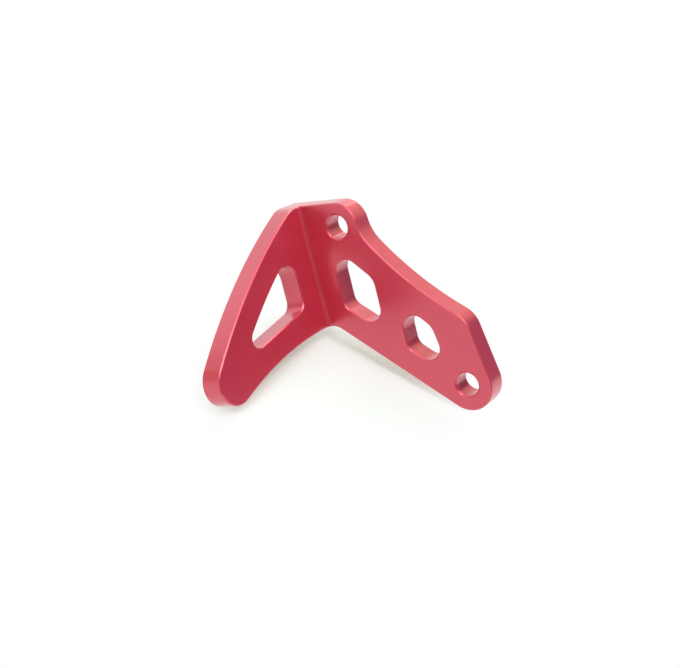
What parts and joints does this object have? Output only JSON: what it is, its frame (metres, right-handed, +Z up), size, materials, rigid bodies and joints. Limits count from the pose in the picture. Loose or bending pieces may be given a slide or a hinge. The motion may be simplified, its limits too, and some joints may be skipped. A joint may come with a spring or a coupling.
{
  "type": "right-angle guard bracket",
  "caption": "Right-angle guard bracket machined from solid aluminium: a swept mounting plate with bolt holes and windows, and a curved fin with a tapered window.",
  "frame": {"origin": "centre of the upper bolt hole, on the mounting face", "axes": "+Y out of the mounting face, away from the fin; +Z up along the fold between the plates; +X along the mounting plate, away from the fold"},
  "size_m": [0.0526, 0.0531, 0.0606],
  "materials": {
    "guard_bracket": "satin red anodised"
  },
  "bodies": {
    "root": {"guard_bracket": "guard_bracket"}
  },
  "joints": []
}
